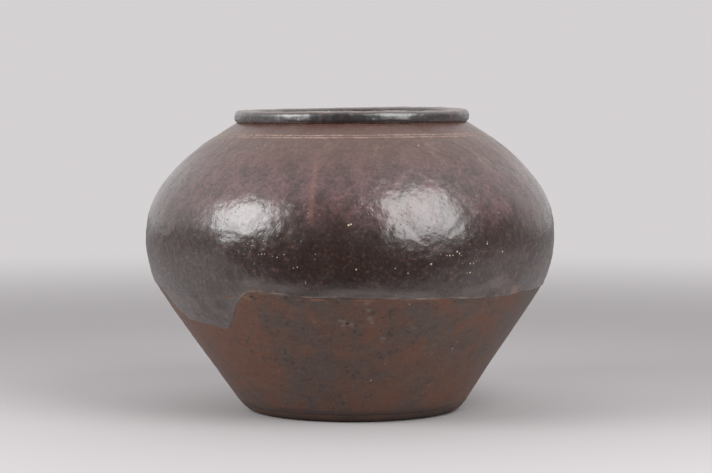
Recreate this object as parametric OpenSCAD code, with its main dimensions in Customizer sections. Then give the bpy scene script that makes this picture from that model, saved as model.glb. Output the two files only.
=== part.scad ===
// Onggi jar: a wide, round-bellied storage crock of dark earthenware.
// It is built as the potter builds it: a beaten base slab, wall courses laid one on another
// with slanted joints, a coil that seals the heel inside, a thick rim coil round the mouth,
// and thin coats of glaze over the fired clay. Sizes are in millimetres, +Z is up, and the
// origin is on the floor under the middle of the jar.

/* [Foot] */
// Diameter at which the straight lower wall would meet the floor
foot_d = 256; // [225:1:285]
// Radius of the rounding where the wall turns in under the base
heel_r = 22; // [4:0.5:26]
// Thickness of the base slab
base_t = 12; // [8:0.5:18]
// Radius of the coil pressed into the corner of floor and wall
heel_coil_r = 30; // [10:1:45]
// Height of the straight lower wall above the floor
cone_h = 152; // [120:1:190]

/* [Belly] */
// Diameter at the widest place, in bare clay
belly_d = 489; // [450:1:530]
// Height from the top of the straight wall to the widest place
belly_low_h = 59; // [40:1:75]
// Radius of the belly's curve below the widest place
belly_low_r = 139; // [100:1:180]
// Height from the widest place to the foot of the shoulder
belly_high_h = 61; // [40:1:72]
// Radius of the belly's curve above the widest place
belly_high_r = 103; // [88:1:130]

/* [Shoulder] */
// Height from the foot of the shoulder to the underside of the rim
shoulder_h = 75; // [66:1:90]
// Outer diameter of the neck, just under the rim
neck_d = 270; // [250:1:290]
// Length of the straight collar below the rim, along its slope
collar_l = 37; // [28:1:48]
// Height of the lower groove above the lower edge of the collar
groove_rise = 3.1; // [2:0.1:6]
// Height from one groove to the next
groove_pitch = 2.4; // [1.6:0.1:4]
// Width of a groove across the slope
groove_w = 2; // [1:0.1:2.6]
// Depth of a groove
groove_depth = 0.9; // [0.3:0.1:1.5]

/* [Rim] */
// Height of the rim coil, in bare clay
rim_h = 12.5; // [11:0.5:20]
// How far the rim coil stands out past the neck
rim_overhang = 5; // [2:0.5:9]
// Radius of the rim's upper outer edge
rim_top_round = 4.5; // [2:0.5:6]
// Radius of the rim's lower outer edge
rim_foot_round = 3.5; // [1:0.5:4]
// Radius of the rim's inner edge
rim_inner_round = 6; // [2:0.5:8]

/* [Wall and joints] */
// Thickness of the wall, square to its face
wall_t = 9; // [6:0.5:13]
// How far each slanted joint drops towards the inside of the wall
scarf = 8; // [4:0.5:14]

/* [Glaze] */
// Thickness of the glaze on the upper body, the rim and the inside
glaze_t = 0.8; // [0.5:0.1:1.4]
// Thickness of the thin wash on the lower body
wash_t = 0.4; // [0.2:0.1:0.6]

/* [Hidden] */
$fn = 144;

clay_red = [0.47, 0.27, 0.19];
clay_brown = [0.40, 0.24, 0.17];
clay_dark = [0.33, 0.20, 0.15];
wash_brown = [0.36, 0.20, 0.14];
glaze_brown = [0.17, 0.10, 0.08];
glaze_black = [0.08, 0.05, 0.04];
glaze_inside = [0.22, 0.13, 0.09];

lower_courses = 3;
belly_courses = 3;
shoulder_courses = 2;
groove_count = 2;
belly_steps = 10;
shoulder_steps = 8;
round_steps = 8;

foot_r = foot_d / 2;
belly_r = belly_d / 2;
neck_r = neck_d / 2;

// Heights at which one form of the wall gives way to the next
belly_z = cone_h + belly_low_h;
shoulder_z = belly_z + belly_high_h;
rim_z = shoulder_z + shoulder_h;

// Unit vector that stands at an angle above the level
function direction(angle) = [cos(angle), sin(angle)];

// The belly is two arcs that share a level tangent at the widest place
low_centre = [belly_r - belly_low_r, belly_z];
high_centre = [belly_r - belly_high_r, belly_z];
low_lean = asin(belly_low_h / belly_low_r);
high_lean = asin(belly_high_h / belly_high_r);
join_r = low_centre.x + belly_low_r * cos(low_lean);
cone_lean = atan((join_r - foot_r) / cone_h);

// The shoulder is an arc that leaves the belly smoothly and ends in the straight collar.
// Its radius follows from the power of the neck point: the collar is a tangent of known length.
shoulder_start = high_centre + belly_high_r * direction(high_lean);
neck_point = [neck_r, rim_z];
reach = neck_point - shoulder_start;
shoulder_r = (collar_l * collar_l - reach * reach) / (2 * (reach * direction(high_lean)));
shoulder_centre = shoulder_start - shoulder_r * direction(high_lean);
to_neck = neck_point - shoulder_centre;
collar_lean = atan2(to_neck.y, to_neck.x) - atan(collar_l / shoulder_r);
collar_z = shoulder_centre.y + shoulder_r * sin(collar_lean);

// Distance from the axis of the point at height z on an arc round a centre
function arc_radius(centre, r, z) = centre.x + sqrt(r * r - (z - centre.y) * (z - centre.y));

// Outer radius of the bare wall at height z
function radius_at(z) =
    z < cone_h ? foot_r + z * tan(cone_lean) :
    z < belly_z ? arc_radius(low_centre, belly_low_r, z) :
    z < shoulder_z ? arc_radius(high_centre, belly_high_r, z) :
    z < collar_z ? arc_radius(shoulder_centre, shoulder_r, z) :
    neck_r + (rim_z - z) * tan(collar_lean);

// How far the wall's outer face tips up from the level at height z, on the plain forms
function plain_lean(z) =
    z < cone_h ? -cone_lean :
    z < belly_z ? asin((z - belly_z) / belly_low_r) :
    z < shoulder_z ? asin((z - belly_z) / belly_high_r) :
    z < collar_z ? asin((z - shoulder_centre.y) / shoulder_r) :
    collar_lean;

// The same, turned evenly across the bend above the straight wall, one scarf to each side
function lean_at(z) =
    abs(z - cone_h) >= scarf ? plain_lean(z) :
    let (t = (z - cone_h + scarf) / (2 * scarf))
    (1 - t) * plain_lean(cone_h - scarf) + t * plain_lean(cone_h + scarf);

// Point under the outer face at height z, at a depth measured square into the wall
function wall_point(z, depth) = [radius_at(z), z] - depth * direction(lean_at(z));

// Where to start on the outer face so that the point at that depth lies level with z
function level_start(z, depth) = z + depth * sin(plain_lean(z));

// Evenly spaced values from a up to, but not with, b
function spread(a, b, count) = [for (i = [0 : count - 1]) a + (b - a) * i / count];

// Points along an arc round a centre, from angle a0 to a1
function arc_line(centre, r, a0, a1) =
    [for (i = [0 : round_steps]) centre + r * direction(a0 + (a1 - a0) * i / round_steps)];

function backwards(list) = [for (i = [len(list) - 1 : -1 : 0]) list[i]];

// Edges of the courses on the outer face and on the inner face of the wall
outer_edges = [
    each spread(base_t, cone_h, lower_courses),
    each spread(cone_h, shoulder_z, belly_courses),
    each spread(shoulder_z, collar_z, shoulder_courses),
    collar_z,
    rim_z
];
collar_index = len(outer_edges) - 2;
inside_edges = [
    level_start(base_t, wall_t),
    for (i = [1 : collar_index]) outer_edges[i] - scarf,
    level_start(rim_z, wall_t)
];
course_steps = [
    for (i = [1 : lower_courses]) 1,
    for (i = [1 : belly_courses]) belly_steps,
    for (i = [1 : shoulder_courses]) shoulder_steps,
    1
];

// Points along the wall at one depth, over the courses from first to last
function wall_line(edges, first, last, depth) = [
    wall_point(edges[first], depth),
    for (k = [first : last])
        for (i = [1 : course_steps[k]])
            wall_point(edges[k] + (edges[k + 1] - edges[k]) * i / course_steps[k], depth)
];

// The collar's outer face above its lower edge, with its grooves, up to the rim's underside
groove_half = groove_w / 2 * cos(collar_lean);
function collar_line(depth) = [
    for (i = [0 : groove_count - 1])
        let (z = collar_z + groove_rise + i * groove_pitch)
        each [
            wall_point(z - groove_half, depth),
            wall_point(z, depth + groove_depth),
            wall_point(z + groove_half, depth)
        ],
    wall_point(level_start(rim_z, depth), depth)
];

// Heel: the rounding stops short of the base slab's upper edge
heel_land = 0.5;
heel_used = min(heel_r, (base_t - heel_land) / (1 - sin(cone_lean)));
heel_centre = [foot_r - heel_used * (1 - sin(cone_lean)) / cos(cone_lean), heel_used];
heel_top_z = heel_used * (1 - sin(cone_lean));

// Corner inside the jar where the floor meets the wall, and the coil that fills it
floor_corner = wall_point(level_start(base_t, wall_t), wall_t);
coil_reach = heel_coil_r / tan((90 + cone_lean) / 2);
coil_centre = [floor_corner.x - coil_reach, base_t + heel_coil_r];
function floor_round(over) = arc_line(coil_centre, heel_coil_r - over, -90, -cone_lean);

// Rim: the mouth is as wide as the wall's inner edge where the rim sits on it
rim_in = neck_r - wall_t / cos(collar_lean);
rim_out = neck_r + rim_overhang;
rim_top = rim_z + rim_h;
foot_round = min(rim_foot_round, rim_overhang);

// Outline of the rim coil, standing off by over, from its lower outer edge to its inner edge
function rim_line(over, start) = [
    each arc_line([rim_out - foot_round, rim_z + foot_round], foot_round + over, start, 0),
    each arc_line([rim_out - rim_top_round, rim_top - rim_top_round], rim_top_round + over, 0, 90),
    each arc_line([rim_in + rim_inner_round, rim_top - rim_inner_round], rim_inner_round + over, 90, 180),
    [rim_in - over, rim_z]
];

// Turns a half section into a solid round the jar's axis
module turned(section) rotate_extrude() polygon(section);

// One wall course, between two slanted joints
module course(k) {
    turned([
        each wall_line(outer_edges, k, k, 0),
        each backwards(wall_line(inside_edges, k, k, wall_t))
    ]);
}

module base_slab() {
    color(clay_dark)
    turned([
        [0, 0],
        each arc_line(heel_centre, heel_used, -90, -cone_lean),
        wall_point(base_t, 0),
        [0, base_t]
    ]);
}

module heel_coil() {
    color(clay_brown)
    turned([each floor_round(0), floor_corner]);
}

module lower_course(number) {
    color(number % 2 == 0 ? clay_brown : clay_red)
    course(number - 1);
}

module belly_course(number) {
    color(number % 2 == 0 ? clay_red : clay_brown)
    course(lower_courses + number - 1);
}

module shoulder_course(number) {
    color(number % 2 == 0 ? clay_brown : clay_red)
    course(lower_courses + belly_courses + number - 1);
}

module collar_course() {
    color(clay_dark)
    turned([
        wall_point(collar_z, 0),
        each collar_line(0),
        each backwards(wall_line(inside_edges, collar_index, collar_index, wall_t))
    ]);
}

module rim_coil() {
    color(clay_brown)
    turned(rim_line(0, -90));
}

module lower_glaze() {
    function face(depth) = [
        wall_point(heel_top_z, depth),
        for (k = [0 : lower_courses]) wall_point(outer_edges[k], depth)
    ];
    color(wash_brown)
    turned([each face(0), each backwards(face(-wash_t))]);
}

module upper_glaze() {
    function face(depth) = [
        each wall_line(outer_edges, lower_courses, collar_index - 1, depth),
        each collar_line(depth)
    ];
    color(glaze_brown)
    turned([each face(0), each backwards(face(-glaze_t))]);
}

module rim_glaze() {
    // The coat stops where its own face comes down level with the rim's underside
    start = -asin(foot_round / (foot_round + glaze_t));
    color(glaze_black)
    turned([each rim_line(glaze_t, start), each backwards(rim_line(0, start))]);
}

module inner_glaze() {
    // The inner face of the collar and of the rim meet in a mitre one coat thick
    mitre_z = rim_z - glaze_t * tan(collar_lean / 2);
    over_depth = wall_t + glaze_t;
    color(glaze_inside)
    turned([
        [0, base_t],
        each floor_round(0),
        each wall_line(inside_edges, 1, collar_index, wall_t),
        [rim_in - glaze_t, rim_z],
        [rim_in - glaze_t, mitre_z],
        each backwards(wall_line(inside_edges, 1, collar_index - 1, over_depth)),
        each backwards(floor_round(glaze_t)),
        [0, base_t + glaze_t]
    ]);
}

base_slab();
heel_coil();
lower_course(1);  // lower_course_1
lower_course(2);  // lower_course_2
lower_course(3);  // lower_course_3
belly_course(1);  // belly_course_1
belly_course(2);  // belly_course_2
belly_course(3);  // belly_course_3
shoulder_course(1);  // shoulder_course_1
shoulder_course(2);  // shoulder_course_2
collar_course();
rim_coil();
lower_glaze();
upper_glaze();
rim_glaze();
inner_glaze();
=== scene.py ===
"""Looks of the onggi jar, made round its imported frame."""

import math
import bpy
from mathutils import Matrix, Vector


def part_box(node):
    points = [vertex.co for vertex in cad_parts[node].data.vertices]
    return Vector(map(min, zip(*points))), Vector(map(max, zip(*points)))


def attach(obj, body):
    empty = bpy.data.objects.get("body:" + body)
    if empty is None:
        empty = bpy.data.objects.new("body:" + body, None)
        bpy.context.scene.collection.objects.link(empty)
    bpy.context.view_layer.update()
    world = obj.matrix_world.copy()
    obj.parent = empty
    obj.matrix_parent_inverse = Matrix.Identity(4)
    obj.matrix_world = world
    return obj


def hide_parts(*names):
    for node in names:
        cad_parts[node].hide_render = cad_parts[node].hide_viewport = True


bl_info = {
    "name": "Onggi jar",
    "version": (1, 0, 0),
    "blender": (4, 5, 0),
    "location": "3D View > Sidebar > Onggi jar",
    "description": "Glazed storage jar made round its fixed frame, with a plain studio",
    "category": "Add Mesh",
}

import bmesh
import bpy
import numpy as np
from mathutils import Vector

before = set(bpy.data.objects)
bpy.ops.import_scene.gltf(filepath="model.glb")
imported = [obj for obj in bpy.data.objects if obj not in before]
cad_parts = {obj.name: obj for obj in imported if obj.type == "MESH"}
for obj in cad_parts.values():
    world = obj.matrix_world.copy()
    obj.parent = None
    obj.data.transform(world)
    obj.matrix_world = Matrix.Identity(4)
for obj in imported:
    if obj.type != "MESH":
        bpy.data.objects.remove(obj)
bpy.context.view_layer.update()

MM = 0.001
JAR_MIDDLE = (0.0, 0.0, 0.25)
USUAL_EDGE = 0.153
TURN = 2 * math.pi
CLAY_NODES = (
    "base_slab", "heel_coil",
    "lower_course_1", "lower_course_2", "lower_course_3",
    "belly_course_1", "belly_course_2", "belly_course_3",
    "shoulder_course_1", "shoulder_course_2",
    "collar_course", "rim_coil",
)


# Sizes and colours that a user would change

def length(name, description, millimetres):
    """A size of the jar, shown in the scene's own units."""
    return bpy.props.FloatProperty(
        name=name, description=description, default=millimetres * MM,
        subtype="DISTANCE", unit="LENGTH", precision=5,
    )


def shade(name, description, colour):
    """A colour of the jar or of the studio."""
    return bpy.props.FloatVectorProperty(
        name=name, description=description, default=colour, size=3,
        subtype="COLOR", min=0.0, max=1.0,
    )


class JarForm(bpy.types.PropertyGroup):
    """How the jar departs from a true turned form, and how deep its marks are."""

    foot_shift: length("Foot shift", "Sideways shift of the foot", 3.3)
    waist_shift: length("Waist shift", "Sideways shift of the wall's lower part", -0.7)
    belly_shift: length("Belly shift", "Sideways shift of the belly", -0.2)
    mouth_shift: length("Mouth shift", "Sideways shift of the mouth", 1.3)
    mouth_tilt: length("Mouth tilt", "How much higher the mouth stands on the right", 1.2)
    mouth_warp: length("Mouth warp", "Rise and fall of the mouth round the rim", 0.5)
    swell: length("Swell", "Broad hollows and swellings of the wall", 0.45)
    paddling: length("Paddling", "Low flats left by the paddle", 0.16)
    rings: length("Throwing rings", "Height of the throwing rings", 0.05)
    dimples: length("Dimples", "Depth of the dimples in the glaze", 0.085)
    groove_depth: length("Groove depth", "Depth of the two comb grooves", 0.9)
    groove_width: length("Groove width", "Width of a comb groove", 2.0)
    groove_drop: length("Groove drop", "Depth of the upper groove below the rim coil", 14.55)
    groove_pitch: length("Groove pitch", "Height from one groove to the next", 2.4)
    stroke_depth: length("Stroke depth", "Depth of the finger strokes in the glaze", 0.18)
    edge_bead: length("Edge bead", "Extra thickness along the glaze's lower edge", 0.25)
    upper_glaze: length("Upper glaze", "Thickness of the glaze", 0.8)
    lower_glaze: length("Lower wash", "Thickness of the wash", 0.4)


class GlazeColours(bpy.types.PropertyGroup):
    """Colours of the clay and of its coats."""

    deep: shade("Deep glaze", "Thick glaze of the belly", (0.026, 0.0125, 0.0100))
    red: shade("Red glaze", "Purple-red mottling of the shoulder", (0.088, 0.033, 0.034))
    dull: shade("Dull glaze", "Darker mottling of the shoulder", (0.045, 0.024, 0.021))
    brown: shade("Brown glaze", "Thin glaze of shoulder and collar", (0.095, 0.046, 0.034))
    rust: shade("Rust", "Rust-red and orange specks", (0.19, 0.050, 0.018))
    cream: shade("Cream", "Bare chips and flecks", (0.62, 0.50, 0.38))
    # Ash grey is also painted sheen where its band widens at the jar's sides.
    ash: shade("Ash", "Grey film on the glaze", (0.16, 0.135, 0.125))
    wash: shade("Wash", "Wash on the lower wall", (0.088, 0.049, 0.037))
    wash_red: shade("Red wash", "Redder patches of the wash", (0.125, 0.052, 0.030))
    wash_grey: shade("Grey wash", "Greyer patches of the wash", (0.070, 0.056, 0.050))
    wash_dark: shade("Dark wash", "Dark specks and the foot", (0.028, 0.019, 0.016))
    rim: shade("Rim glaze", "Near-black glaze of the rim", (0.016, 0.010, 0.010))
    inside: shade("Inner glaze", "Glaze inside the jar", (0.060, 0.030, 0.020))
    clay: shade("Fired clay", "Bare clay of the base", (0.235, 0.120, 0.075))


class StudioSettings(bpy.types.PropertyGroup):
    """Camera, lamps and floor."""

    camera_side: length("Camera side", "Camera's place to the right of the jar", 6.6)
    camera_back: length("Camera distance", "Camera's distance in front of the jar", 3050.0)
    camera_height: length("Camera height", "Camera's height above the floor", 420.4)
    camera_tilt: bpy.props.FloatProperty(
        name="Camera tilt", description="How far the camera looks down",
        default=math.radians(3.99), subtype="ANGLE", unit="ROTATION",
    )
    lens: bpy.props.FloatProperty(
        name="Lens", description="Focal length on a sensor 36 mm wide",
        default=128.4, subtype="DISTANCE_CAMERA", unit="CAMERA",
    )
    left_lamp: bpy.props.FloatProperty(
        name="Left softbox", description="Power of the softbox on the left",
        default=21.0, subtype="POWER", unit="POWER",
    )
    right_lamp: bpy.props.FloatProperty(
        name="Right softbox", description="Power of the softbox on the right",
        default=27.0, subtype="POWER", unit="POWER",
    )
    surround: bpy.props.FloatProperty(
        name="Surround", description="Brightness of the pale room behind and above the jar",
        default=0.80, min=0.0,
    )
    floor: shade("Floor", "Pale floor", (0.468, 0.449, 0.454))
    backdrop: shade("Backdrop", "Pale background", (0.665, 0.640, 0.648))


# Arithmetic on lines and surfaces

def ease(low, high, value):
    """Smooth step from 0 at low to 1 at high."""
    share = np.clip((value - low) / (high - low), 0.0, 1.0)
    return share * share * (3.0 - 2.0 * share)


def bell(value, width):
    """Bell curve, 1 at zero and almost 0 at twice the width."""
    return np.exp(-((value / width) ** 2))


def ring_points(*names):
    """The rings of the named CAD nodes as points (r, z): every vertex by its distance from the
    axis and its height, each taken once."""
    found = []
    for name in names:
        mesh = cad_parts[name].data
        places = np.empty(len(mesh.vertices) * 3, np.float32)
        mesh.vertices.foreach_get("co", places)
        places = places.reshape(-1, 3).astype(float)
        found.append(np.c_[np.hypot(places[:, 0], places[:, 1]), places[:, 2]])
    return np.unique(np.round(np.concatenate(found), 6), axis=0)


def outer_chain(points):
    """The outer side of a half section, going up: the line that a string pulled tight round the
    points would follow, which keeps only left-hand turns."""
    chain = []
    for point in points[np.lexsort((points[:, 0], points[:, 1]))]:
        while len(chain) > 1:
            old, new = chain[-1] - chain[-2], point - chain[-2]
            if old[0] * new[1] - old[1] * new[0] > 1e-12:
                break
            chain.pop()
        chain.append(point)
    return np.array(chain)


class Line:
    """A smooth line in the half plane (r, z) that can be read at any length along it.

    The points are joined by straight lines, read every half millimetre, and averaged over a bell
    of the width blur; the ends stay where they are. The normal points to the line's right."""

    def __init__(self, points, blur, step=0.5 * MM):
        points = np.asarray(points, float)
        run = np.r_[0.0, np.cumsum(np.hypot(*np.diff(points, axis=0).T))]
        self.s = np.linspace(0.0, run[-1], int(run[-1] / step) + 1)
        even = np.stack([np.interp(self.s, run, points[:, k]) for k in (0, 1)], 1)
        reach = int(3 * blur / step)
        if reach:
            before = 2 * even[0] - even[reach:0:-1]
            after = 2 * even[-1] - even[-2:-reach - 2:-1]
            weight = bell(np.arange(-reach, reach + 1) * step, blur * math.sqrt(2))
            weight /= weight.sum()
            wide = np.concatenate([before, even, after])
            even = np.stack([np.convolve(wide[:, k], weight, "valid") for k in (0, 1)], 1)
        slope = np.gradient(even, axis=0)
        slope /= np.linalg.norm(slope, axis=1, keepdims=True)
        self.r, self.z = even.T
        self.nr, self.nz = slope[:, 1], -slope[:, 0]

    def at(self, s, stand_off=0.0):
        """Distance from the axis and height at length s, moved along the normal."""
        r, z, nr, nz = (np.interp(s, self.s, v) for v in (self.r, self.z, self.nr, self.nz))
        return r + stand_off * nr, z + stand_off * nz

    def reach(self, height):
        """Length along a rising line at which it comes to a height."""
        return np.interp(height, self.z, self.s)


def carried(r, z, angle):
    """Points of a line carried round the axis: (r sin a, -r cos a, z), so that angle 0 faces the
    camera and the right-hand side is positive."""
    r, z, angle = np.broadcast_arrays(r, z, angle)
    return np.stack([r * np.sin(angle), -r * np.cos(angle), z], -1)


def waves(places, wavelength, seed, count=40):
    """Unevenness without a pattern, about 1 high: the sum of plane waves of nearly one
    wavelength that run in seeded directions."""
    draw = np.random.default_rng(seed)
    turn = draw.normal(size=(3, count))
    turn *= TURN / wavelength * draw.uniform(0.75, 1.25, count) / np.linalg.norm(turn, axis=0)
    phase = draw.uniform(0.0, TURN, count)
    return math.sqrt(2.0 / count) * np.cos(places @ turn + phase).sum(-1)


def centre_shift(z):
    """Sideways shift of the jar's centre at height z: the cubic through four measured shifts,
    written as each shift times the product that is 1 at its own height and 0 at the others."""
    form = bpy.context.scene.jar_form
    known = ((0.0, form.foot_shift), (0.150, form.waist_shift),
             (0.235, form.belly_shift), (0.345, form.mouth_shift))
    return sum(
        shift * math.prod((1 / (height - other) for other, _ in known if other != height))
        * np.prod([z - other for other, _ in known if other != height], axis=0)
        for height, shift in known
    )


def handmade(places):
    """Moves points of the true turned form to where the potter's hand left them.

    Every level shifts sideways by centre_shift(z). The mouth tips and waves: it rises by a share
    of x and of a slow wave round the rim, from nothing at the shoulder to all at the rim. The
    wall swells and sinks by broad waves that depend on the direction from the axis and on the
    height alone, so that all the wall's layers move together; the base stays flat."""
    form = bpy.context.scene.jar_form
    places = np.asarray(places, float)
    x, y, z = np.moveaxis(places, -1, 0)
    r = np.hypot(x, y)
    unit_x, unit_y = x / np.maximum(r, 1e-9), y / np.maximum(r, 1e-9)
    barrel = np.stack([0.2 * unit_x, 0.2 * unit_y, z], -1)
    near_axis = ease(0.02, 0.09, r)
    above_floor = 0.35 + 0.65 * ease(0.01, 0.06, z)
    swell = form.swell * (waves(barrel, 0.24, 11) + 0.5 * waves(barrel, 0.11, 12))
    swell -= 0.7 * MM * bell(z - 0.149, 0.014) + 0.6 * MM * bell(z - 0.055, 0.02)
    swell *= near_axis * above_floor
    up = ease(0.250, 0.340, z)
    angle = np.arctan2(unit_x, -unit_y)
    warp = form.mouth_warp * (np.cos(2 * angle + 0.9) + 0.6 * np.cos(3 * angle - 0.4))
    rise = up * near_axis * (form.mouth_tilt * x / 0.14 + warp)
    return np.stack([
        x + swell * unit_x + centre_shift(z),
        y + swell * unit_y - 0.5 * centre_shift(z) * ease(0.0, 0.1, z),
        z + rise,
    ], -1)


def front_degrees(angle):
    """An angle round the jar in degrees, from -180 to 180 with 0 at the front."""
    return np.degrees((angle + math.pi) % TURN - math.pi)


def edge_height(angle):
    """Height of the glaze's lower edge round the jar: slow waves, the run of glaze on the left
    of the front, and two lesser runs behind."""
    degrees = front_degrees(angle)
    height = 153.4 + 1.6 * np.cos(np.radians(degrees) + 1.5) + 1.0 * np.cos(np.radians(3 * degrees) + 0.6)
    height = height + 0.5 * np.cos(np.radians(11 * degrees)) + 0.35 * np.cos(np.radians(23 * degrees) + 1)
    height = height + 4.5 * bell(degrees + 26.0, 9.0) - 2.0 * bell(degrees - 40.0, 14.0)
    front_run = ease(-28.0, -45.0, degrees) * (1.0 - ease(-63.0, -76.0, degrees))
    height = height - (41.0 + 3.0 * np.cos(np.radians(9 * degrees))) * front_run
    height = height - 15.0 * bell(degrees - 138.0, 13.0) - 9.0 * bell(degrees + 152.0, 8.0)
    return height * MM


# Finger strokes under the collar: direction and height of each end in degrees and millimetres,
# bow to the right in degrees, width in millimetres, strength
STROKES = (
    (-54.3, 329, -57.0, 312, 0.8, 4.0, 1.0),
    (-34.6, 325, -37.5, 312, 0.5, 3.5, 0.7),
    (-19.0, 322, -21.0, 304, 0.3, 4.5, 0.35),
    (-6.5, 326, -10.5, 313, 0.3, 5.5, 0.6),
    (9.2, 324, 8.6, 298, 0.3, 3.2, 0.6),
    (17.5, 325, 18.6, 309, -0.4, 4.0, 0.45),
    (29.4, 325, 32.0, 297, 0.9, 4.8, 0.9),
    (46.2, 326, 51.5, 286, 1.6, 5.0, 1.0),
    (63.0, 327, 72.0, 279, 2.2, 5.5, 0.9),
    (76.0, 326, 86.0, 282, 2.0, 5.0, 0.8),
    (101.0, 325, 106.0, 288, 1.2, 4.6, 0.8),
    (126.0, 326, 130.0, 292, 1.0, 4.4, 0.9),
    (151.0, 325, 154.0, 286, 1.4, 5.0, 0.7),
    (174.0, 326, 179.0, 290, 1.2, 4.6, 0.9),
    (-161.0, 325, -156.0, 288, -1.2, 4.8, 0.8),
    (-136.0, 326, -133.0, 294, 0.9, 4.2, 0.8),
    (-112.0, 325, -107.0, 284, -1.4, 5.0, 0.9),
    (-84.0, 326, -88.0, 296, 1.0, 4.4, 0.8),
)


def stroke_marks(angle, r, z):
    """Core and side ridges of the finger strokes, each from 0 to 1. A stroke follows a line that
    leads from one end to the other and bows sideways; across it the core is a bell, and the
    ridges are two narrow bells at its sides."""
    degrees = np.degrees(angle)
    core, ridge = np.zeros(np.shape(z)), np.zeros(np.shape(z))
    for top_at, top, foot_at, foot, bow, width, strength in STROKES:
        share = (top * MM - z) / ((top - foot) * MM)
        along = ease(-0.12, 0.1, share) * (1.0 - ease(0.8, 1.15, share))
        share = np.clip(share, 0.0, 1.0)
        line = top_at + (foot_at - top_at) * share + bow * 4.0 * share * (1.0 - share)
        across = np.radians((degrees - line + 180.0) % 360.0 - 180.0) * r
        half = width * MM * (0.7 + 0.3 * np.sin(share * 9.0 + top_at))
        core = np.maximum(core, strength * along * bell(across, half))
        side = bell(np.abs(across) - 1.25 * half, 0.9 * MM) * (0.6 + 0.4 * np.cos(share * 17.0 + top_at))
        ridge = np.maximum(ridge, strength * along * side)
    return core, ridge


def graded(stops):
    """Row places from start to end: between two neighbouring stops (place, step) the spacing is
    the first stop's step."""
    rows = [
        np.linspace(start, end, max(2, int(round((end - start) / step)) + 1))[:-1]
        for (start, step), (end, _) in zip(stops[:-1], stops[1:])
    ]
    return np.concatenate(rows + [[stops[-1][0]]])


def add_piece(name, grid, nodes, marks=None, poles=False):
    """Makes one closed piece of a grid of points, rows along the line and columns round the axis.

    Without poles the last row is joined to the first. With poles the first and the last row are
    each one point on the axis, and fans close them."""
    rows, columns = grid.shape[:2]
    column = np.arange(columns)
    after = (column + 1) % columns
    first = np.arange(1, rows - 2) if poles else np.arange(rows)
    lower, upper = first[:, None] * columns, ((first + 1) % rows)[:, None] * columns
    faces = np.stack([lower + column, lower + after, upper + after, upper + column], -1).reshape(-1, 4)
    places = grid.reshape(-1, 3)
    if poles:
        start, end = places[:columns].mean(0), places[-columns:].mean(0)
        places = np.concatenate([[start], places[columns:-columns], [end]])
        faces = faces - columns + 1
        last = len(places) - 1
        first_fan = np.stack([np.zeros(columns, int), 1 + after, 1 + column], -1)
        top = last - columns
        last_fan = np.stack([np.full(columns, last), top + column, top + after], -1)
        faces = faces.tolist() + first_fan.tolist() + last_fan.tolist()
    else:
        faces = faces.tolist()
    mesh = bpy.data.meshes.new(name)
    mesh.from_pydata(places.tolist(), [], faces)
    for mark, values in (marks or {}).items():
        values = np.broadcast_to(values, (rows, columns)).reshape(-1)
        if poles:
            values = np.r_[values[0], values[columns:-columns], values[-1]]
        layer = mesh.attributes.new(mark, "FLOAT", "POINT")
        layer.data.foreach_set("value", values.astype(np.float32))
    mesh.shade_smooth()
    mesh.validate()
    return settle(name, mesh, nodes)


def settle(name, mesh, nodes):
    """Puts a finished mesh in the scene as a piece that stands for its CAD nodes."""
    piece = bpy.data.objects.new(name, mesh)
    bpy.context.scene.collection.objects.link(piece)
    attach(piece, "root")
    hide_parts(*nodes)
    return piece


def wall_line():
    """Outer face of the bare wall from the heel's rounding to the rim, read from the frame."""
    chain = outer_chain(ring_points(*(n for n in CLAY_NODES if n not in ("heel_coil", "rim_coil"))))
    return Line(chain[chain[:, 1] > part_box("lower_glaze")[0].z], 5 * MM)


# Materials

class Value:
    """One value of a shader. Arithmetic on it adds the Math nodes."""

    def __init__(self, paint, socket):
        self.paint = paint
        self.socket = socket

    def __add__(self, other):
        return self.paint.maths("ADD", self, other)

    def __sub__(self, other):
        return self.paint.maths("SUBTRACT", self, other)

    def __mul__(self, other):
        return self.paint.maths("MULTIPLY", self, other)

    def __rsub__(self, other):
        return self.paint.maths("SUBTRACT", other, self)

    __radd__ = __add__
    __rmul__ = __mul__

    def power(self, other):
        """This value to a power."""
        return self.paint.maths("POWER", self, other)

    def most(self, other):
        """The greater of two values."""
        return self.paint.maths("MAXIMUM", self, other)

    def ease(self, low, high):
        """Smooth step from 0 at low to 1 at high, or down where high is the lower one."""
        if high < low:
            return 1.0 - self.ease(high, low)
        return self.paint.node(
            "ShaderNodeMapRange", {"interpolation_type": "SMOOTHSTEP"},
            {"Value": self, "From Min": low, "From Max": high},
        )


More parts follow.
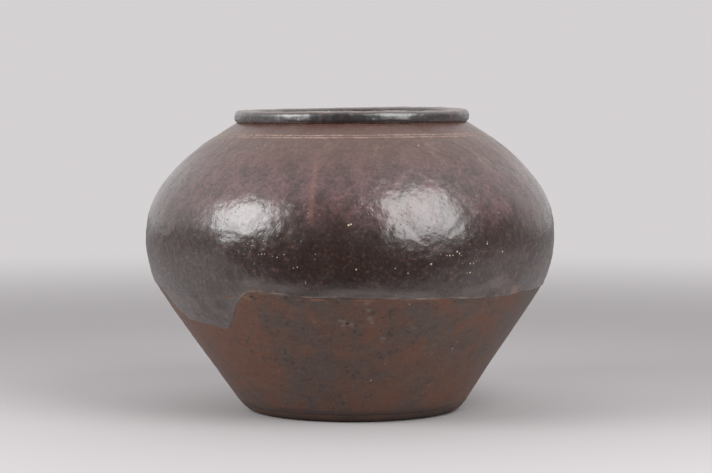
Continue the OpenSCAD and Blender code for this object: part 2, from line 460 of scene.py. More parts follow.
class Paint:
    """The nodes of one material or of the world."""

    def __init__(self, owner):
        owner.use_nodes = True
        self.tree = owner.node_tree
        self.tree.nodes.clear()
        self.place = None

    def node(self, kind, settings=None, inputs=None, output=0):
        """Adds a node: its settings first, then the values or links of its sockets, by name or
        number. Gives one of its outputs."""
        made = self.tree.nodes.new(kind)
        for key, value in (settings or {}).items():
            setattr(made, key, value)
        for key, value in (inputs or {}).items():
            socket = made.inputs[key]
            if isinstance(value, Value):
                self.tree.links.new(value.socket, socket)
            elif value is not None:
                if socket.type == "RGBA" and len(value) == 3:
                    value = (*value, 1.0)
                socket.default_value = value
        return Value(self, made.outputs[output])

    def maths(self, operation, *values):
        """A Math node on one or two values."""
        return self.node("ShaderNodeMath", {"operation": operation}, dict(enumerate(values)))

    def mix(self, share, first, second):
        """A colour between two colours."""
        return self.node(
            "ShaderNodeMix", {"data_type": "RGBA", "clamp_factor": True},
            {0: share, 6: first, 7: second}, 2,
        )

    def coordinates(self, name="Object"):
        """The piece's own coordinates, in metres."""
        if self.place is None:
            self.place = self.node("ShaderNodeTexCoord", output=name)
        return self.place

    def parts(self, vector):
        """The three numbers of a vector."""
        made = self.node("ShaderNodeSeparateXYZ", None, {0: vector})
        return [Value(self, s) for s in made.socket.node.outputs]

    def stretched(self, scale):
        """The coordinates, scaled along each axis."""
        return self.node("ShaderNodeMapping", None, {"Vector": self.coordinates(), "Scale": scale})

    def noise(self, size, detail=3.0, roughness=0.55, place=None):
        """Soft noise from 0 to 1 with features of a size in metres."""
        return self.node("ShaderNodeTexNoise", None, {
            "Vector": place or self.coordinates(), "Scale": 1.0 / size, "Detail": detail,
            "Roughness": roughness,
        })

    def cells(self, size, place=None, feature="F1"):
        """Distance from the middle of seeded cells of a size in metres, as a share of it."""
        return self.node("ShaderNodeTexVoronoi", {"feature": feature}, {
            "Vector": place or self.coordinates(), "Scale": 1.0 / size,
        })

    def mark(self, name):
        """A value worked out with the piece's shape."""
        return self.node("ShaderNodeAttribute", {"attribute_name": name}, None, "Fac")

    def spots(self, places, edge=0.35):
        """Where any of the points (x, y, z, radius) lies, from 0 to 1, with ragged outlines."""
        jitter = self.node("ShaderNodeTexNoise", None, {
            "Vector": self.coordinates(), "Scale": 700.0, "Detail": 2.0}, "Color")
        moved = self.node("ShaderNodeVectorMath", {"operation": "MULTIPLY_ADD"}, {
            0: jitter, 1: (0.0024,) * 3, 2: self.coordinates()})
        total = None
        for x, y, z, radius in places:
            away = self.node("ShaderNodeVectorMath", {"operation": "DISTANCE"}, {
                0: moved, 1: (x + 0.0012, y + 0.0012, z + 0.0012)}, "Value")
            spot = away.ease(radius, radius * edge)
            total = spot if total is None else total.most(spot)
        return total

    def bump(self, height):
        """Normal of a surface that stands out by height, in millimetres."""
        return self.node("ShaderNodeBump", None, {"Strength": 1.0, "Distance": MM, "Height": height})

    def finish(self, colour, roughness, normal, coat=None, **constants):
        """Closes a material with the shader for clay and glaze."""
        inputs = {"Base Color": colour, "Roughness": roughness, "Normal": normal}
        if coat is not None:
            inputs["Coat Weight"] = coat
        inputs.update(constants)
        shader = self.node("ShaderNodeBsdfPrincipled", None, inputs)
        self.node_output(shader)

    def node_output(self, shader, kind="ShaderNodeOutputMaterial"):
        """Links a shader to the output."""
        made = self.tree.nodes.new(kind)
        self.tree.links.new(shader.socket, made.inputs["Surface"])


def new_paint(name):
    """An empty material and its nodes."""
    material = bpy.data.materials.new(name)
    return material, Paint(material)


def surface_places(line, marks, stand_off):
    """Points (x, y, z, radius) on the finished surface from (degrees, height, radius) marks."""
    found = []
    for degrees, height, radius in marks:
        r, z = line.at(line.reach(height * MM), stand_off)
        x, y, z = handmade(carried(r, z, math.radians(degrees)))
        found.append((x, y, z, radius * MM))
    return found


def upper_material(line):
    """Thick dark ash glaze: purple-red and brown on the shoulder, near-black on the belly, with
    rust specks, cream chips, a dimpled gloss and a grey ash film near its lower edge, widened at
    the jar's sides into painted sheen."""
    colours = bpy.context.scene.glaze_colours
    material, p = new_paint("upper_glaze")
    z = p.parts(p.coordinates())[2]
    broad = p.noise(0.055, 3.0, 0.6)
    clouds = p.noise(0.018, 4.0, 0.62, p.stretched((1.0, 1.0, 0.8)))
    fine = p.noise(0.0042, 3.0, 0.65)
    grit = p.noise(0.0017, 2.0, 0.7)
    streaks = p.noise(0.012, 4.0, 0.6, p.stretched((1.0, 1.0, 6.0)))
    shoulder = (z + (broad - 0.5) * 0.030).ease(0.222, 0.262)
    high = z.ease(0.285, 0.320)
    collar = z.ease(0.3268, 0.3285)
    # Belly: deep brown with rust-coloured specks
    speck = (fine + (clouds - 0.5) * 0.35).ease(0.56, 0.70)
    belly = p.mix(speck * 0.40, colours.deep, colours.rust)
    belly = p.mix(grit.ease(0.62, 0.78) * 0.35, belly, colours.brown)
    # Shoulder: purple-red clouds that turn brown towards the collar
    mottling = (clouds + (fine - 0.5) * 0.9 + (broad - 0.5) * 0.4).ease(0.34, 0.70)
    clouded = p.mix(mottling, colours.dull, colours.red)
    top = p.mix(high * 0.75 + (broad - 0.5) * 0.6, clouded, colours.brown)
    top = p.mix(collar * 0.65, top, colours.brown)
    sparks = p.noise(0.0028, 2.0, 0.7)
    where = (clouds + (broad - 0.5)).ease(0.40, 0.60)
    top = p.mix(sparks.ease(0.52, 0.68) * where * 0.45, top, (0.17, 0.070, 0.075))
    top = p.mix(sparks.ease(0.46, 0.32) * 0.5, top, colours.dull)
    colour = p.mix(shoulder, belly, top)
    # Swept strokes, worn grooves and the edge
    core, ridge = p.mark("stroke"), p.mark("ridge")
    worn, hem, thin = p.mark("worn"), p.mark("hem"), p.mark("thin")
    colour = p.mix(core * 0.45, colour, (0.105, 0.072, 0.058))
    colour = p.mix(ridge * (fine.ease(0.42, 0.60)) * 0.75, colour, (0.30, 0.17, 0.085))
    colour = p.mix(p.mark("drip") * 0.4, colour, (0.21, 0.10, 0.08))
    # Grey ash film near the lower edge; where its band widens at the jar's sides, the grey is painted sheen.
    colour = p.mix(thin * (0.35 + 0.9 * (streaks - 0.4)), colour, colours.ash)
    chipped = worn * (0.30 + 0.45 * (fine + (clouds - 0.5) * 0.8).ease(0.42, 0.60))
    colour = p.mix(chipped, colour, (0.34, 0.235, 0.19))
    colour = p.mix(hem * (0.35 + 0.65 * clouds.ease(0.4, 0.6)) * 0.8, colour, (0.30, 0.215, 0.16))
    fade = p.mark("fade") * (clouds + (fine - 0.5) * 0.6).ease(0.38, 0.60)
    colour = p.mix(fade * 0.9, colour, colours.wash)
    flecks = surface_places(line, UPPER_FLECKS, bpy.context.scene.jar_form.upper_glaze)
    fleck = p.spots(flecks)
    stray = p.cells(0.017).ease(0.085, 0.05) * broad.ease(0.55, 0.62)
    bare = fleck.most(stray * 0.7)
    colour = p.mix(bare, colour, colours.cream)
    patch = p.spots(surface_places(line, EDGE_PATCHES, 0.0), 0.2)
    colour = p.mix(patch * clouds.ease(0.35, 0.6) * 0.8, colour, (0.20, 0.095, 0.045))
    # Dimples, pits and grain
    pits = p.cells(0.0046).ease(0.30, 0.08) * p.noise(0.02, 2.0).ease(0.40, 0.62)
    dimple = p.cells(0.0062, p.stretched((1.0, 1.0, 1.25)), "SMOOTH_F1")
    height = fine * 0.30 + grit * 0.07 + dimple * 0.20 - pits * 0.20
    height = height - bare * 0.35 - chipped * 0.10
    roughness = 0.24 + (clouds - 0.5) * 0.14 + thin * 0.16 + chipped * 0.3 + bare * 0.4 + high * 0.10
    haze = 0.60 + (fine - 0.5) * 1.6 + (clouds - 0.5) * 1.0 - thin * 0.35
    coat = (haze - chipped * 0.8 - bare * 0.85 - high * 0.35).most(0.0)
    p.finish(colour, roughness, p.bump(height), coat, **{"Coat Roughness": 0.5, "IOR": 1.7, "Coat IOR": 1.55})
    return material


# Chips in the upper glaze: direction in degrees, height and radius in millimetres
UPPER_FLECKS = (
    (-24.5, 203.1, 0.9), (-23.6, 203.7, 0.8), (-22.8, 203.9, 1.0), (-20.6, 201.5, 0.8), (-19.2, 200.4, 0.9),
    (-17.4, 203.9, 0.9), (-8.9, 204.8, 0.8), (-9.1, 199.5, 0.7), (1.8, 188.0, 1.1), (22.0, 192.7, 1.3),
    (26.4, 201.5, 1.0), (27.3, 201.6, 1.1), (28.2, 201.6, 1.1), (29.5, 205.7, 1.4), (30.3, 203.4, 1.2),
    (30.9, 201.2, 0.9), (33.9, 191.2, 1.2), (35.0, 191.0, 1.0), (36.0, 193.6, 1.1), (35.2, 196.8, 0.8),
    (34.2, 181.0, 1.2), (33.2, 180.6, 1.0), (39.4, 214.6, 1.1), (39.4, 212.6, 1.1), (45.3, 202.6, 1.2),
    (35.6, 206.9, 0.9), (-11.8, 173.4, 0.9), (-11.8, 171.6, 0.8), (15.6, 183.0, 1.0), (12.0, 188.8, 1.1),
    (-0.3, 237.0, 1.6), (0.3, 237.6, 1.2), (31.5, 192.0, 0.8), (-14.9, 189.0, 0.8),
)

# Orange-brown patches at the glaze's edge
EDGE_PATCHES = ((-27.6, 160.5, 6.5), (-25.2, 160.0, 5.5), (55.0, 156.0, 9.0), (50.0, 153.5, 6.0))

# Marks on the lower wash, in the same measures
WASH_SMUDGES = (
    (-2.3, 127.5, 6.5), (-2.0, 122.5, 4.5), (0.6, 123.0, 5.5), (4.9, 149.5, 5.5), (5.4, 141.0, 4.5),
    (6.2, 130.5, 5.5), (6.6, 126.0, 4.0), (10.7, 105.5, 5.5), (-10.5, 126.0, 4.0),
)
WASH_CHIPS = (
    (38.6, 89.0, 1.4), (30.2, 84.7, 1.2), (7.9, 54.0, 1.5), (34.3, 45.3, 1.1), (38.9, 64.2, 0.9),
    (-29.5, 62.5, 1.0), (-23.7, 59.8, 0.8), (-22.5, 96.0, 0.6),
)
# Holes in the wash; the wash material colours them near-black as painted shade inside them.
WASH_HOLES = ((-0.6, 124.7, 2.0), (22.0, 107.0, 1.2), (-28.4, 153.6, 2.8), (-27.6, 151.6, 2.2))


def wash_material(line):
    """Thin satin wash: red-brown with orange and grey patches, dark specks and a dark foot."""
    colours = bpy.context.scene.glaze_colours
    material, p = new_paint("lower_wash")
    x, _, z = p.parts(p.coordinates())
    broad = p.noise(0.090, 3.0, 0.55)
    clouds = p.noise(0.026, 4.0, 0.6)
    fine = p.noise(0.0060, 4.0, 0.65)
    grit = p.noise(0.0022, 2.0, 0.7)
    upright = p.noise(0.020, 3.0, 0.6, p.stretched((1.0, 1.0, 0.25)))
    level = p.noise(0.020, 3.0, 0.6, p.stretched((1.0, 1.0, 5.0)))
    left = x.ease(0.02, -0.17)
    red = (clouds + (broad - 0.5) * 0.9 + left * 0.16 + z.ease(0.055, 0.01) * 0.16).ease(0.42, 0.70)
    colour = p.mix(red, colours.wash, colours.wash_red)
    grey = (upright + (broad - 0.5) * -0.7 + x.ease(0.0, 0.16) * 0.08).ease(0.46, 0.66)
    colour = p.mix(grey * 0.65, colour, colours.wash_grey)
    speck = (fine + (clouds - 0.5) * 0.35).ease(0.44, 0.30)
    colour = p.mix(speck * 0.90, colour, colours.wash_dark)
    mottle = p.noise(0.011, 3.0, 0.6, p.stretched((1.0, 1.0, 1.5)))
    colour = p.mix(mottle.ease(0.50, 0.68) * 0.40, colour, (0.135, 0.070, 0.048))
    colour = p.mix(mottle.ease(0.46, 0.30) * 0.40, colour, (0.048, 0.036, 0.031))
    colour = p.mix(grit.ease(0.54, 0.70) * 0.55, colour, (0.175, 0.108, 0.080))
    colour = p.mix(level.ease(0.50, 0.66) * 0.22, colour, (0.12, 0.085, 0.072))
    smudge = p.spots(surface_places(line, WASH_SMUDGES, 0.0), 0.1) * fine.ease(0.36, 0.60)
    colour = p.mix(smudge * 0.55, colour, (0.20, 0.185, 0.175))
    chip = p.spots(surface_places(line, WASH_CHIPS, 0.0)).most(p.cells(0.030).ease(0.034, 0.02) * 0.7)
    colour = p.mix(chip, colour, (0.42, 0.33, 0.25))
    # Painted shade: the holes are coloured near-black for the shade inside them.
    hole = p.spots(surface_places(line, WASH_HOLES, 0.0))
    colour = p.mix(hole, colour, (0.008, 0.006, 0.005))
    foot = (z + (clouds - 0.5) * 0.006).ease(0.019, 0.010)
    colour = p.mix(foot * 0.6, colour, colours.wash_dark)
    height = fine * 0.16 + grit * 0.05 + level * 0.10 - speck * 0.05 - hole * 0.8 - chip * 0.2
    roughness = 0.50 + (clouds - 0.5) * 0.20 + (fine - 0.5) * 0.15 + chip * 0.3
    p.finish(colour, roughness, p.bump(height), None, **{"IOR": 1.5})
    return material


def rim_material():
    """Near-black glossy glaze, pitted, and worn through to pink clay along its lower edge; its top is
    lightened into a painted sheen.
    """
    colours = bpy.context.scene.glaze_colours
    material, p = new_paint("rim_glaze")
    clouds = p.noise(0.016, 3.0, 0.6)
    fine = p.noise(0.0040, 3.0, 0.65)
    grit = p.noise(0.0016, 2.0, 0.7)
    worn, top = p.mark("worn"), p.mark("top")
    colour = p.mix(clouds.ease(0.45, 0.70) * 0.45, colours.rim, (0.060, 0.028, 0.026))
    # Painted sheen: the rim's top is lightened towards a pale grey-brown, the gleam of the room above.
    colour = p.mix(top * (0.45 + 0.5 * clouds), colour, (0.200, 0.145, 0.120))
    chipped = worn * (fine + (clouds - 0.5) * 0.6).ease(0.40, 0.58)
    colour = p.mix(chipped, colour, (0.34, 0.20, 0.16))
    stray = p.cells(0.020).ease(0.06, 0.035) * clouds.ease(0.5, 0.6)
    colour = p.mix(stray * 0.7, colour, colours.cream)
    height = fine * 0.38 + grit * 0.09 - chipped * 0.15 - stray * 0.2
    roughness = 0.26 + (clouds - 0.5) * 0.14 + top * 0.16 + chipped * 0.3
    coat = (0.95 + (fine - 0.5) * 1.4 - top * 0.4 - chipped * 0.9).most(0.0)
    p.finish(colour, roughness, p.bump(height), coat, **{"Coat Roughness": 0.5, "IOR": 1.7, "Coat IOR": 1.6})
    return material


def inner_material():
    """Brown glaze inside: streaked along the throwing rings, darker towards its floor."""
    colours = bpy.context.scene.glaze_colours
    material, p = new_paint("inner_glaze")
    z = p.parts(p.coordinates())[2]
    clouds = p.noise(0.030, 4.0, 0.6)
    level = p.noise(0.022, 4.0, 0.6, p.stretched((1.0, 1.0, 5.0)))
    fine = p.noise(0.0055, 3.0, 0.65)
    colour = p.mix((level + (clouds - 0.5) * 0.6).ease(0.40, 0.66), colours.inside, (0.105, 0.052, 0.032))
    # Darker towards the floor inside the jar.
    colour = p.mix(z.ease(0.05, 0.014) * 0.6, colour, colours.deep)
    colour = p.mix(fine.ease(0.60, 0.74) * 0.5, colour, colours.deep)
    height = fine * 0.14 + level * 0.12
    roughness = 0.36 + (clouds - 0.5) * 0.2
    p.finish(colour, roughness, p.bump(height), None, **{"IOR": 1.55})
    return material


def clay_material():
    """Bare fired clay: red-brown, sandy, with grey flame marks and dark iron specks."""
    colours = bpy.context.scene.glaze_colours
    material, p = new_paint("fired_clay")
    clouds = p.noise(0.040, 4.0, 0.6)
    fine = p.noise(0.0030, 3.0, 0.7)
    grit = p.noise(0.0011, 2.0, 0.7)
    colour = p.mix(clouds.ease(0.38, 0.66), colours.clay, (0.13, 0.085, 0.068))
    colour = p.mix(fine.ease(0.60, 0.72) * 0.7, colour, (0.05, 0.035, 0.03))
    colour = p.mix(grit.ease(0.62, 0.74) * 0.5, colour, (0.36, 0.24, 0.17))
    x, y, z = p.parts(p.coordinates())
    heel = (x * x + y * y).power(0.5).ease(0.112, 0.118) * z.ease(0.0002, 0.0020) * z.ease(0.020, 0.015)
    colour = p.mix(heel * 0.6, colour, colours.wash_dark)
    height = fine * 0.20 + grit * 0.12
    roughness = 0.78 + (fine - 0.5) * 0.2
    p.finish(colour, roughness, p.bump(height), None, **{"IOR": 1.45})
    return material


# Operators

class Maker(bpy.types.Operator):
    """Common ground of the operators that add to the scene."""

    bl_options = {"REGISTER", "UNDO"}


class JAR_OT_clay(Maker):
    """Lays the clay pieces: slab, heel coil, wall courses, collar and rim coil."""

    bl_idname = "jar.clay"
    bl_label = "Clay pieces"

    def execute(self, context):
        material = clay_material()
        for node in CLAY_NODES:
            piece = settle(f"{node}_clay", refined(node, 9 * MM), [node])
            piece.data.materials.append(material)
        return {"FINISHED"}


def refined(node, longest):
    """A merged copy of a CAD node's mesh, its long edges halved until none is longer than given,
    then moved by handmade() and shaded smooth except at its corners."""
    work = bmesh.new()
    work.from_mesh(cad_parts[node].data)
    bmesh.ops.remove_doubles(work, verts=work.verts, dist=2e-6)
    for _ in range(6):
        long_edges = [edge for edge in work.edges if edge.calc_length() > longest]
        if not long_edges:
            break
        bmesh.ops.subdivide_edges(work, edges=long_edges, cuts=1)
        bmesh.ops.triangulate(work, faces=[face for face in work.faces if len(face.verts) > 3])
    mesh = bpy.data.meshes.new(f"{node}_clay")
    work.to_mesh(mesh)
    work.free()
    places = np.empty(len(mesh.vertices) * 3)
    mesh.vertices.foreach_get("co", places)
    mesh.vertices.foreach_set("co", handmade(places.reshape(-1, 3)).reshape(-1))
    mesh.shade_smooth()
    mesh.set_sharp_from_angle(angle=math.radians(35))
    mesh.update()
    return mesh


class JAR_OT_lower_glaze(Maker):
    """Brushes the thin wash on the lower wall, from the heel up to the glaze's edge."""

    bl_idname = "jar.lower_glaze"
    bl_label = "Lower wash"

    def execute(self, context):
        form = context.scene.jar_form
        line = wall_line()
        angle = np.linspace(0.0, TURN, 600, endpoint=False)
        share = np.linspace(0.0, 1.0, 92)[:, None]
        edge = line.reach(edge_height(angle))
        s = share * edge
        r, z = line.at(s)
        start = carried(r, z, angle)
        relief = 0.5 * form.paddling * waves(start * (1, 1, 1.4), 0.030, 31)
        relief += 0.6 * form.dimples * waves(start, 0.011, 32, 56)
        relief += 0.9 * form.rings * (np.cos(TURN * (s + 0.004 * np.sin(angle)) / 0.0093)
                                      * (0.6 + 0.4 * np.sin(2 * angle + 40 * s)))
        relief = np.clip(relief, -0.28 * MM, 0.5 * MM)
        coat = (form.lower_glaze + relief) * ease(-0.001, 0.003, s)
        front = handmade(carried(*line.at(s, coat), angle))
        back_share = np.linspace(1.0, 0.0, 14)[:, None]
        back = handmade(carried(*line.at(back_share * edge), angle))
        piece = add_piece("lower_wash", np.concatenate([front, back]), ["lower_glaze"])
        piece.data.materials.append(wash_material(line))
        return {"FINISHED"}


class JAR_OT_upper_glaze(Maker):
    """Pours the thick glaze on belly, shoulder and collar, with strokes, grooves and runs."""

    bl_idname = "jar.upper_glaze"
    bl_label = "Upper glaze"

    def execute(self, context):
        form = context.scene.jar_form
        line = wall_line()
        angle = np.linspace(0.0, TURN, 640, endpoint=False)
        edge = line.reach(edge_height(angle))
        usual = line.reach(USUAL_EDGE)
        end = line.s[-1]
        upper_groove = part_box("rim_coil")[0].z - form.groove_drop
        grooves = [line.reach(upper_groove - form.groove_pitch), line.reach(upper_groove)]
        rows = graded((
            (usual, 0.7 * MM), (usual + 5 * MM, 2.3 * MM), (grooves[0] - 3 * MM, 0.5 * MM),
            (grooves[1] + 3 * MM, 2.3 * MM), (end, 1.0 * MM),
        ))[:, None]
        slide = 1.0 - ease(0.0, 0.105, rows - usual)
        s = rows + (edge - usual) * slide
        r, z = line.at(s)
        start = carried(r, z, angle)
        below = ease(0.0, 0.006, end - s)
        core, ridge = stroke_marks(angle, r, z)
        wander = 0.004 * np.sin(angle + 0.5) + 0.002 * np.sin(3 * angle + 1.0)
        rings = sum(
            share * np.cos(TURN * (s + wander * bend) / wavelength + phase)
            for share, wavelength, bend, phase in (
                (1.0, 0.0118, 1.0, 0.4), (0.7, 0.0071, -0.8, 2.0), (0.5, 0.0187, 1.6, 4.0))
        ) * (0.65 + 0.35 * waves(start, 0.12, 44))
        relief = form.paddling * waves(start, 0.034, 41) + form.rings * rings
        relief += form.dimples * (waves(start, 0.0125, 42, 64) + 0.45 * waves(start, 0.0078, 43, 72))
        relief += form.stroke_depth * (0.8 * ridge - core)
        drip = bell(np.radians((np.degrees(angle) + 10.5 + 18 * (z - 0.26) + 180) % 360 - 180) * r, 0.003)
        drip = drip * ease(0.322, 0.30, z) * ease(0.225, 0.25, z)
        relief += 0.12 * MM * drip
        cut = sum(
            np.maximum(0.0, 1.0 - np.abs(s - place) / (0.62 * form.groove_width))
            for place in grooves
        )
        depth = 0.62 + 0.38 * waves(start * (1, 1, 0), 0.05, 45)
        relief -= form.groove_depth * cut * np.clip(depth, 0.35, 1.0)
        from_edge = s - edge
        ran = ease(0.146, 0.136, edge_height(angle))
        bead = form.edge_bead * bell(from_edge - 0.0022, 0.0020) * (1.0 - 0.9 * ran)
        relief = np.clip(relief, -0.62 * MM, 0.6 * MM) * below + bead
        rolled = 0.45 + 0.55 * ease(0.0, 0.0016, from_edge)
        coat = (form.upper_glaze + relief) * rolled
        front = handmade(carried(*line.at(s, coat), angle))
        back_rows = np.linspace(1.0, 0.0, 16)[:, None]
        back = handmade(carried(*line.at(edge + back_rows * (end - edge)), angle))
        streaky = waves(start * (1, 1, 2.5), 0.05, 46)
        # Grey band at the glaze's lower edge: a real ash film, made wider at the jar's sides as seen from the
        # camera, where its grey is painted sheen.
        degrees = front_degrees(angle)
        sides = np.maximum(ease(18.0, 48.0, np.abs(degrees)), 0.25)
        band = (0.004 + 0.030 * sides) * (1.0 + 0.35 * streaky)
        thin = (1.0 - ease(0.3, 1.3, from_edge / band)) * (0.55 + 0.25 * streaky)
        hem_waves = 0.5 + 0.5 * waves(start, 0.03, 47)
        marks = {
            "stroke": core, "ridge": ridge, "drip": drip,
            "worn": np.maximum(np.clip(1.6 * sum(bell(s - g - 0.0011, 0.00075) for g in grooves), 0, 1),
                               0.8 * bell(end - s - 0.0015, 0.0012)),
            "hem": bell(from_edge - 0.0012, 0.0011) * (1.0 - 0.9 * ran) * hem_waves,
            "thin": np.clip(thin, 0.0, 1.0),
            "fade": ran * (1.0 - ease(0.0, 0.011, from_edge)),
        }
        marks = {
            name: np.concatenate([np.broadcast_to(v, s.shape), np.zeros(back.shape[:2])])
            for name, v in marks.items()
        }
        piece = add_piece(
            "upper_glaze_coat", np.concatenate([front, back]), ["upper_glaze"], marks)
        piece.data.materials.append(upper_material(line))
        return {"FINISHED"}


class JAR_OT_rim_glaze(Maker):
    """Dips the rim coil in its near-black glaze."""

    bl_idname = "jar.rim_glaze"
    bl_label = "Rim glaze"

    def execute(self, context):
        form = context.scene.jar_form
        section = ring_points("rim_coil")
        middle = (section.min(0) + section.max(0)) / 2
        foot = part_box("rim_coil")[0].z
        around = section[section[:, 1] > foot + 1e-5]
        turn = np.arctan2(around[:, 1] - middle[1], around[:, 0] - middle[0])
        order = np.argsort((turn + math.pi / 2) % TURN)
        line = Line(around[order], 0.9 * MM, 0.25 * MM)
        angle = np.linspace(0.0, TURN, 640, endpoint=False)
        end = line.s[-1]
        s = np.linspace(0.0, end, 58)[:, None]
        r, z = line.at(s)
        start = carried(r, z, angle)
        ends = ease(0.0, 0.0012, s) * ease(0.0, 0.0012, end - s)
        relief = 0.14 * MM * waves(start, 0.030, 51) + 0.07 * MM * waves(start, 0.012, 52, 56)
        relief += 0.035 * MM * waves(start, 0.0065, 53, 64)
        degrees = front_degrees(angle)
        nick = bell(degrees - 82.0, 1.3) * bell(r - 0.136, 0.004) * bell(z - 0.3585, 0.0035)
        relief = np.clip(relief, -0.5 * MM, 0.5 * MM) - 0.55 * MM * nick
        coat = (form.upper_glaze + relief) * (0.15 + 0.85 * ends)
        front = handmade(carried(*line.at(s, coat), angle))
        back = handmade(carried(*line.at(np.linspace(1.0, 0.0, 20)[:, None] * end), angle))
        blank = np.zeros(back.shape[:2])
        marks = {
            "worn": np.concatenate([np.broadcast_to(bell(s - 0.0006, 0.0011), relief.shape), blank]),
            # The rim's top, which the rim glaze lightens into a painted sheen.
            "top": np.concatenate([np.broadcast_to(ease(0.3574, 0.3592, z), relief.shape), blank]),
        }
        piece = add_piece(
            "rim_glaze_coat", np.concatenate([front, back]), ["rim_glaze"], marks)
        piece.data.materials.append(rim_material())
        return {"FINISHED"}


class JAR_OT_inner_glaze(Maker):
    """Swills the inside with glaze, from the middle of the floor to the rim's inner face."""

    bl_idname = "jar.inner_glaze"
    bl_label = "Inner glaze"

    def execute(self, context):
        form = context.scene.jar_form
        clay = {tuple(point) for point in ring_points(*CLAY_NODES)}
        points = ring_points("inner_glaze")
        shared = np.array([tuple(point) in clay for point in points])
        lines = []
        for chosen in (points[shared], points[~shared]):
            rising = chosen[np.lexsort((chosen[:, 0], chosen[:, 1]))]
            rising = rising[rising[:, 0] > 0.02]
            lines.append(np.concatenate([[[0.0, rising[0, 1]]], rising]))
        line = Line(lines[1], 3 * MM)
        angle = np.linspace(0.0, TURN, 360, endpoint=False)
        end = line.s[-1]
        s = graded(((0.0, 4 * MM), (0.1, 3.2 * MM), (end, 1 * MM)))[::-1, None]
        r, z = line.at(s)
        start = carried(r, z, angle)
        hold = ease(0.02, 0.06, r) * ease(0.0, 0.01, end - s)
        relief = form.paddling * waves(start, 0.04, 61) + form.dimples * waves(start, 0.013, 62, 56)
        relief += 2.2 * form.rings * np.cos(TURN * (s + 0.003 * np.sin(angle)) / 0.0135)
        relief = np.clip(relief, -0.6 * MM, 0.6 * MM) * hold
        front = handmade(carried(*line.at(s, -relief), angle))
        outer = lines[0]
        run = np.r_[0.0, np.cumsum(np.hypot(*np.diff(outer, axis=0).T))]
        back_s = np.linspace(0.0, run[-1], 60)
        back = handmade(carried(np.interp(back_s, run, outer[:, 0])[:, None],
                                np.interp(back_s, run, outer[:, 1])[:, None], angle))
        piece = add_piece(
            "inner_glaze_coat", np.concatenate([back, front]), ["inner_glaze"], None, True)
        piece.data.materials.append(inner_material())
        return {"FINISHED"}


def aim(thing, target):
    """Turns a lamp or camera so that it looks at a point."""
    away = Vector(target) - thing.location
    thing.rotation_euler = away.to_track_quat("-Z", "Y").to_euler()


def softbox(name, place, shape, size, power):
    """A softbox: an area lamp that the camera doesn't see, turned to the jar's middle."""
    data = bpy.data.lights.new(name, "AREA")
    data.shape = shape
    data.size, data.size_y = size
    data.energy = power
    lamp = bpy.data.objects.new(name, data)
    bpy.context.scene.collection.objects.link(lamp)
    lamp.location = place
    lamp.visible_camera = False
    aim(lamp, JAR_MIDDLE)


def beside(azimuth, elevation, distance, right, up):
    """A point at a direction and distance from the jar's middle, moved within the plane that
    faces the jar."""
    a, e = math.radians(azimuth), math.radians(elevation)
    out = Vector((math.sin(a) * math.cos(e), -math.cos(a) * math.cos(e), math.sin(e)))
    side = Vector((math.cos(a), math.sin(a), 0.0))
    lift = side.cross(out) * -1.0
    if lift.z < 0:
        lift = -lift
    return Vector(JAR_MIDDLE) + out * distance + side * right + lift * up


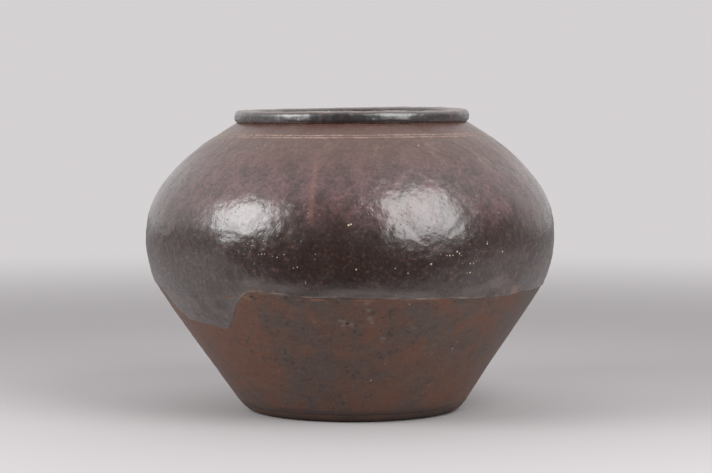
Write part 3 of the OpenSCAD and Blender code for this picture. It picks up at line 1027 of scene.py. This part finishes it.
class JAR_OT_studio(Maker):
    """Sets the pale floor, the softboxes, the room's light and the camera."""

    bl_idname = "jar.studio"
    bl_label = "Studio"

    def execute(self, context):
        scene = context.scene
        studio = scene.studio_settings
        self.floor(studio)
        left = beside(-54, 33, 1.6, -0.18, -0.27)
        right = beside(54, 36, 1.6, -0.27, -0.15)
        softbox("left_softbox", left, "ELLIPSE", (1.0, 1.1), studio.left_lamp)
        softbox("right_softbox", right, "RECTANGLE", (1.0, 1.5), studio.right_lamp)
        self.world(scene, studio)
        camera = bpy.data.objects.new("camera", bpy.data.cameras.new("camera"))
        scene.collection.objects.link(camera)
        camera.location = (studio.camera_side, -studio.camera_back, studio.camera_height)
        camera.rotation_euler = (math.pi / 2 - studio.camera_tilt, 0.0, 0.0)
        camera.data.lens = studio.lens
        camera.data.sensor_width = 36.0
        camera.data.clip_end = 60.0
        scene.camera = camera
        scene.view_settings.view_transform = "Standard"
        return {"FINISHED"}

    def floor(self, studio):
        """A wide disc at the jar's foot. Near the jar it takes light and shadow; far off it
        shows the backdrop's colour. In front of the jar glossy rays see it as a near-black
        emission, a painted shade of the camera's side."""
        angle = np.linspace(0.0, TURN, 96, endpoint=False)
        mesh = bpy.data.meshes.new("floor")
        mesh.from_pydata((carried(np.full(96, 20.0), 0.0, angle)).tolist(), [], [list(range(96))])
        disc = bpy.data.objects.new("floor", mesh)
        bpy.context.scene.collection.objects.link(disc)
        material, p = new_paint("floor")
        mesh.materials.append(material)
        x, y, _ = p.parts(p.coordinates())
        away = (x * x + y * y).power(0.5)
        path = p.node("ShaderNodeLightPath", output="Is Camera Ray")
        glossy = Value(p, path.socket.node.outputs["Is Glossy Ray"])
        matt = p.node("ShaderNodeBsdfDiffuse", None, {"Color": studio.floor})
        far = p.node("ShaderNodeEmission", None, {"Color": studio.backdrop, "Strength": 1.0})
        # Painted shade: a near-black emission that glossy rays see on the floor in front of the jar.
        dark = p.node("ShaderNodeEmission", None, {"Color": (0.02, 0.018, 0.018), "Strength": 1.0})
        shown = p.node("ShaderNodeMixShader", None, {0: path * away.ease(0.9, 2.6), 1: matt, 2: far})
        seen = p.node("ShaderNodeMixShader", None, {0: glossy * y.ease(-0.28, -0.50), 1: shown, 2: dark})
        p.node_output(seen)

    def world(self, scene, studio):
        """The room: pale for the camera, and as light a pale ceiling and back with a dark front."""
        scene.world = bpy.data.worlds.new("room")
        p = Paint(scene.world)
        direction = p.coordinates("Generated")
        x, y, z = p.parts(direction)
        path = p.node("ShaderNodeLightPath", output="Is Camera Ray")
        back = (y + z * 0.9 - x * 0.12).ease(-0.15, 0.85)
        level = 0.03 + back * studio.surround
        room = p.node("ShaderNodeBackground", None, {"Color": (1.0, 0.985, 0.99), "Strength": level})
        seen = p.node("ShaderNodeBackground", None, {"Color": studio.backdrop, "Strength": 1.0})
        light = p.node("ShaderNodeMixShader", None, {0: path, 1: room, 2: seen})
        p.node_output(light, "ShaderNodeOutputWorld")


STEPS = (
    JAR_OT_clay, JAR_OT_lower_glaze, JAR_OT_upper_glaze, JAR_OT_rim_glaze, JAR_OT_inner_glaze,
    JAR_OT_studio,
)


class JAR_PT_panel(bpy.types.Panel):
    """Lists the jar's pieces, sizes and colours."""

    bl_idname = "JAR_PT_panel"
    bl_label = "Onggi jar"
    bl_space_type = "VIEW_3D"
    bl_region_type = "UI"
    bl_category = "Onggi jar"

    def draw(self, context):
        for step in STEPS:
            self.layout.operator(step.bl_idname)
        for group in (context.scene.jar_form, context.scene.glaze_colours, context.scene.studio_settings):
            box = self.layout.box()
            for name in group.bl_rna.properties.keys():
                if name not in ("rna_type", "name"):
                    box.prop(group, name)


GROUPS = {"jar_form": JarForm, "glaze_colours": GlazeColours, "studio_settings": StudioSettings}


def register():
    for group in (*GROUPS.values(), *STEPS, JAR_PT_panel):
        bpy.utils.register_class(group)
    for name, group in GROUPS.items():
        setattr(bpy.types.Scene, name, bpy.props.PointerProperty(type=group))


def unregister():
    for name in GROUPS:
        delattr(bpy.types.Scene, name)
    for group in (JAR_PT_panel, *reversed(STEPS), *reversed(GROUPS.values())):
        bpy.utils.unregister_class(group)


def main():
    """Builds the jar and its studio."""
    register()
    for step in STEPS:
        group, name = step.bl_idname.split(".")
        getattr(getattr(bpy.ops, group), name)()


if __name__ == "__main__":
    main()
